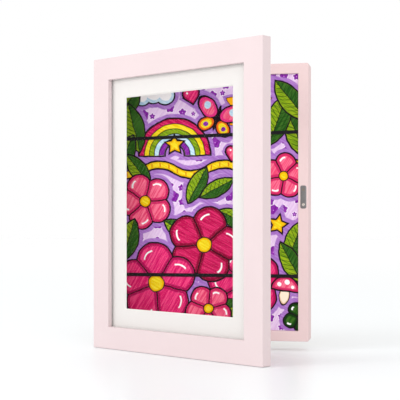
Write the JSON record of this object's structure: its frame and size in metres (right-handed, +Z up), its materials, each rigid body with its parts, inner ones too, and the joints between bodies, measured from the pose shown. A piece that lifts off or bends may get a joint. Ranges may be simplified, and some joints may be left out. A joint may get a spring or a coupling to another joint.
{
  "type": "front-opening art frame",
  "caption": "Front-opening picture frame for drawings: a hinged, matted door over a shallow storage case with elastic straps.",
  "frame": {"origin": "on the ground under the middle of the bounding box, with the door open 31 degrees as it stands", "axes": "+Z up; +X across the case from its hinge side to its latch side; +Y from the case's front to its back"},
  "size_m": [0.2984, 0.2022, 0.4],
  "materials": {
    "door_paint": "smooth satin pale pink paint on wood",
    "case_paint": "smooth satin pale pink paint on wood",
    "clear_pane": "clear polished acrylic",
    "mat_board": "fine off-white mat board with a bevelled window",
    "zinc_steel": "zinc-plated steel",
    "bright_screw": "bright plated steel",
    "strike_steel": "grey satin steel",
    "magnet": "nickel-plated magnet, dull",
    "white_plastic": "moulded plastic",
    "elastic": "black woven elastic",
    "drawing_paper": "drawing paper coloured with felt-tip pens",
    "plain_paper": "stacked drawing paper",
    "hardboard": "brown hardboard",
    "foam": "open-cell grey foam",
    "bumper": "translucent soft rubber"
  },
  "bodies": {
    "case": {"case_side_hinge": "case_paint", "case_side_latch": "case_paint", "case_bottom": "case_paint", "case_top": "case_paint", "back_panel": "hardboard", "panel_screw_hinge_lower": "bright_screw", "panel_screw_hinge_upper": "bright_screw", "panel_screw_latch_lower": "bright_screw", "panel_screw_latch_upper": "bright_screw", "front_drawing": "drawing_paper", "stored_drawings": "plain_paper", "support_board": "hardboard", "foam_block_hinge": "foam", "foam_block_latch": "foam", "elastic_strap_lower": "elastic", "elastic_strap_upper": "elastic", "hinge_lower_case_leaf": "zinc_steel", "hinge_lower_pin": "bright_screw", "hinge_lower_case_screw_low": "bright_screw", "hinge_lower_case_screw_high": "bright_screw", "hinge_upper_case_leaf": "zinc_steel", "hinge_upper_pin": "bright_screw", "hinge_upper_case_screw_low": "bright_screw", "hinge_upper_case_screw_high": "bright_screw", "strike_plate": "strike_steel", "strike_screw_lower": "bright_screw", "strike_screw_upper": "bright_screw", "hanger_top": "zinc_steel", "hanger_top_nail_a": "bright_screw", "hanger_top_nail_b": "bright_screw", "hanger_side": "zinc_steel", "hanger_side_nail_a": "bright_screw", "hanger_side_nail_b": "bright_screw", "bumper_hinge_lower": "bumper", "bumper_hinge_upper": "bumper", "bumper_latch_lower": "bumper", "bumper_latch_upper": "bumper"},
    "door": {"door_stile_hinge": "door_paint", "door_stile_latch": "door_paint", "door_rail_bottom": "door_paint", "door_rail_top": "door_paint", "door_pane": "clear_pane", "door_mat": "mat_board", "point_hinge_lower": "zinc_steel", "point_hinge_upper": "zinc_steel", "point_latch_lower": "zinc_steel", "point_latch_upper": "zinc_steel", "point_bottom": "zinc_steel", "point_top": "zinc_steel", "catch_housing": "white_plastic", "catch_magnet": "magnet", "catch_screw_lower": "bright_screw", "catch_screw_upper": "bright_screw", "hinge_lower_door_leaf": "zinc_steel", "hinge_lower_door_screw_low": "bright_screw", "hinge_lower_door_screw_high": "bright_screw", "hinge_upper_door_leaf": "zinc_steel", "hinge_upper_door_screw_low": "bright_screw", "hinge_upper_door_screw_high": "bright_screw"}
  },
  "joints": [
    {"name": "door_hinge", "type": "hinge", "parent": "case", "child": "door", "pos_m": [-0.13256, 0.06366, 0.201], "axis": [0, 0, -1], "range_deg": [-31, 69]}
  ]
}
